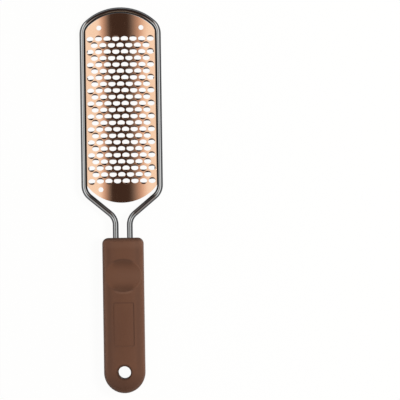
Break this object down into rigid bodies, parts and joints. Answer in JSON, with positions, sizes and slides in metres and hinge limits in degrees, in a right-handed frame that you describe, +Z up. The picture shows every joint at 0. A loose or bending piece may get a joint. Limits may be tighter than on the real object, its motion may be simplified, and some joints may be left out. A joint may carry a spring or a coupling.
{
  "type": "foot file",
  "caption": "Foot file: an arched metal rasp plate with raised cutting lips, welded into a bent wire frame whose prongs run into a moulded handle with a thumb rest and hang hole.",
  "frame": {"origin": "under the middle of the whole tool, on the surface that it lies on", "axes": "+Z up out of the working side, +Y from the handle to the head, +X to the right"},
  "size_m": [0.055, 0.26, 0.014],
  "materials": {
    "rose_gold_plate": "mirror-polished stainless sheet with a rose-gold coating",
    "bright_wire": "polished round wire",
    "brown_moulding": "matte brown with a fine moulded texture"
  },
  "bodies": {
    "root": {"wire_frame": "bright_wire", "rasp_plate": "rose_gold_plate", "plate_welds": "bright_wire", "handle_front_shell": "brown_moulding", "handle_rear_shell": "brown_moulding"}
  },
  "joints": []
}
